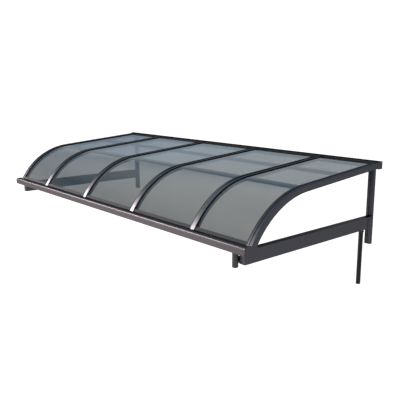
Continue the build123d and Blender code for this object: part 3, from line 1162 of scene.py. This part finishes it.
def make_world(scene):
    """White to the camera. Glass and gloss see it white up to above the camera's view, and over
    that in bands of blue grey that end pale. The light it gives is a plain dimmer fill."""
    # Sine of the elevation, and the colour there
    white_top = 0.145
    bands = (
        (0.17, (0.27, 0.34, 0.46)),
        (0.22, (0.44, 0.55, 0.65)),
        (0.28, (0.5, 0.57, 0.62)),
        (0.42, (0.25, 0.36, 0.5)),
    )
    pale_base, pale = 0.63, (0.78, 0.9, 1.0)
    world = bpy.data.worlds.new("plain studio")
    world.use_nodes = True
    tree = world.node_tree
    tree.nodes.clear()
    way = add_node(tree, "ShaderNodeTexCoord")
    parts = add_node(tree, "ShaderNodeSeparateXYZ", {0: way.outputs["Generated"]})
    sky = add_node(tree, "ShaderNodeValToRGB", {"Fac": parts.outputs[2]})
    stops = sky.color_ramp.elements
    stops[0].position, stops[0].color = white_top, (1, 1, 1, 1)
    stops[1].position, stops[1].color = pale_base, (*pale, 1)
    for height, colour in bands:
        stops.new(height).color = (*colour, 1)
    path = add_node(tree, "ShaderNodeLightPath")
    seen = add_node(
        tree,
        "ShaderNodeMix",
        {
            mix_factor: path.outputs["Is Camera Ray"],
            mix_colour_a: sky.outputs[0],
            mix_colour_b: (1, 1, 1, 1),
        },
        data_type="RGBA",
    )
    shown = add_node(
        tree, "ShaderNodeBackground", {"Color": seen.outputs[mixed_colour], "Strength": 1.0}
    )
    fill = add_node(
        tree, "ShaderNodeBackground", {"Color": (0.94, 0.97, 1.0, 1.0), "Strength": 0.3}
    )
    both = add_node(
        tree,
        "ShaderNodeMixShader",
        {0: seen_directly(tree), 1: fill.outputs[0], 2: shown.outputs[0]},
    )
    add_node(tree, "ShaderNodeOutputWorld", {"Surface": both.outputs[0]})
    scene.world = world


def make_floor():
    """Matt white paint, rolled, as far below the header as the ground of a doorway: white where
    it is seen, but for the object's soft shadow. Its glow makes up for what the lamps lack far
    off. Glass and gloss see it plain and white, and it lights the object evenly from below."""
    ground, reach = -2.35, 40.0
    near, far = 3.0, 14.0
    corners = [
        (-reach, -reach, ground),
        (reach, -reach, ground),
        (reach, reach, ground),
        (-reach, reach, ground),
    ]
    floor = new_mesh_object("floor", corners, [], [(0, 1, 2, 3)])
    material, tree = new_material("matt white paint, rolled")
    place = add_node(tree, "ShaderNodeTexCoord").outputs["Object"]
    paint = add_node(tree, "ShaderNodeBsdfDiffuse", {"Color": (0.85, 0.85, 0.85, 1)})
    distance = add_node(tree, "ShaderNodeVectorMath", {0: place}, operation="LENGTH")
    lack = add_node(
        tree,
        "ShaderNodeMapRange",
        {
            "Value": distance.outputs["Value"],
            "From Min": near,
            "From Max": far,
            "To Min": 0.62,
            "To Max": 0.86,
        },
    )
    glow = add_node(
        tree, "ShaderNodeEmission", {"Color": (1, 1, 1, 1), "Strength": lack.outputs[0]}
    )
    painted = add_node(tree, "ShaderNodeAddShader", {0: paint.outputs[0], 1: glow.outputs[0]})
    mirrored = add_node(
        tree, "ShaderNodeEmission", {"Color": (1, 0.98, 0.95, 1), "Strength": 1.13}
    )
    path = add_node(tree, "ShaderNodeLightPath")
    shown = add_node(
        tree,
        "ShaderNodeMixShader",
        {0: path.outputs["Is Camera Ray"], 1: mirrored.outputs[0], 2: painted.outputs[0]},
    )
    even = add_node(tree, "ShaderNodeEmission", {"Color": (1, 0.98, 0.96, 1), "Strength": 0.5})
    both = add_node(
        tree,
        "ShaderNodeMixShader",
        {0: seen_directly(tree), 1: even.outputs[0], 2: shown.outputs[0]},
    )
    add_node(tree, "ShaderNodeOutputMaterial", {"Surface": both.outputs[0]})
    floor.data.materials.append(material)


def make_lights(scene):
    """A tall soft box and a long low brighter lamp above its edge, both to the front left;
    the panels don't mirror them, and they don't reach the header or the posts at the wall."""
    lit = bpy.data.collections.new("lit by the lamps")
    unlit_names = (*panel_names, "wall_header", *both_sides("wall_post"))
    unlit = {frame["nodes"][name] for name in unlit_names}
    for piece in scene.objects:
        if piece.type == "MESH" and piece not in unlit:
            lit.objects.link(piece)

    def put_lamp(name, size, power, way, distance):
        """Puts a lamp of size (width, height) at a distance, facing the origin."""
        lamp = bpy.data.lights.new(name, "AREA")
        lamp.shape = "RECTANGLE"
        lamp.size, lamp.size_y = size
        lamp.energy = power
        lamp.color = (1.0, 0.89, 0.83)
        holder = bpy.data.objects.new(name, lamp)
        scene.collection.objects.link(holder)
        holder.location = way.normalized() * distance
        holder.rotation_euler = way.to_track_quat("Z", "Y").to_euler()
        holder.light_linking.receiver_collection = lit

    put_lamp("soft box", (5.2, 5.4), 165, Vector((-0.67, -0.74, 0.07)), 5.0)
    put_lamp("strip light", (10.0, 3.4), 3200, Vector((-0.79, -0.53, 0.3)), 20.0)


def make_camera(scene):
    """Camera fitted to the edges of the object, for a square picture."""
    picture_side, focal_length, shift_x, shift_y = 405, 556.14, -16.49, -1.36  # pixels
    place = (3.2354, -3.0562, 0.4927)
    yaw, pitch, roll = math.radians(47.793), math.radians(11.937), math.radians(0.194)
    data = bpy.data.cameras.new("camera")
    data.sensor_width = 36.0
    data.lens = focal_length * data.sensor_width / picture_side
    data.shift_x = shift_x / picture_side
    data.shift_y = shift_y / picture_side
    data.clip_end = 200
    camera = bpy.data.objects.new("camera", data)
    scene.collection.objects.link(camera)
    turn = (
        Matrix.Rotation(yaw, 3, "Z")
        @ Matrix.Rotation(math.pi / 2 - pitch, 3, "X")
        @ Matrix.Rotation(roll, 3, "Z")
    )
    camera.matrix_world = Matrix.Translation(place) @ turn.to_4x4()
    scene.camera = camera


class CANOPY_PT_sidebar(bpy.types.Panel):
    """Lists the steps that dress the canopy, and what a user may change"""

    bl_label = "Canopy"
    bl_space_type = "VIEW_3D"
    bl_region_type = "UI"
    bl_category = "Canopy"

    def draw(self, context):
        for step in steps:
            self.layout.operator(step.bl_idname)
        for group in settings():
            box = self.layout.box()
            for key in group.bl_rna.properties.keys():
                if key not in ("rna_type", "name"):
                    box.prop(group, key)


steps = (
    CANOPY_OT_frame,
    CANOPY_OT_plastic,
    CANOPY_OT_panels,
    CANOPY_OT_seals,
    CANOPY_OT_screws,
    CANOPY_OT_collars,
    CANOPY_OT_stage,
)
groups = (
    ("canopy_roof", CanopyRoofLine),
    ("canopy_seals", CanopySeals),
    ("canopy_fixings", CanopyFixings),
    ("canopy_colours", CanopyColours),
)


def register():
    """Registers the groups of values, the operators and the panel."""
    for name, group in groups:
        bpy.utils.register_class(group)
        setattr(bpy.types.Scene, name, bpy.props.PointerProperty(type=group))
    for cls in (*steps, CANOPY_PT_sidebar):
        bpy.utils.register_class(cls)


def unregister():
    """Undoes register, in the opposite order."""
    for cls in (CANOPY_PT_sidebar, *reversed(steps)):
        bpy.utils.unregister_class(cls)
    for name, group in reversed(groups):
        delattr(bpy.types.Scene, name)
        bpy.utils.unregister_class(group)


def main():
    """Dresses the canopy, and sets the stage."""
    register()
    bpy.ops.canopy.frame()
    bpy.ops.canopy.plastic()
    bpy.ops.canopy.panels()
    bpy.ops.canopy.seals()
    bpy.ops.canopy.screws()
    bpy.ops.canopy.collars()
    bpy.ops.canopy.stage()


if __name__ == "__main__":
    main()
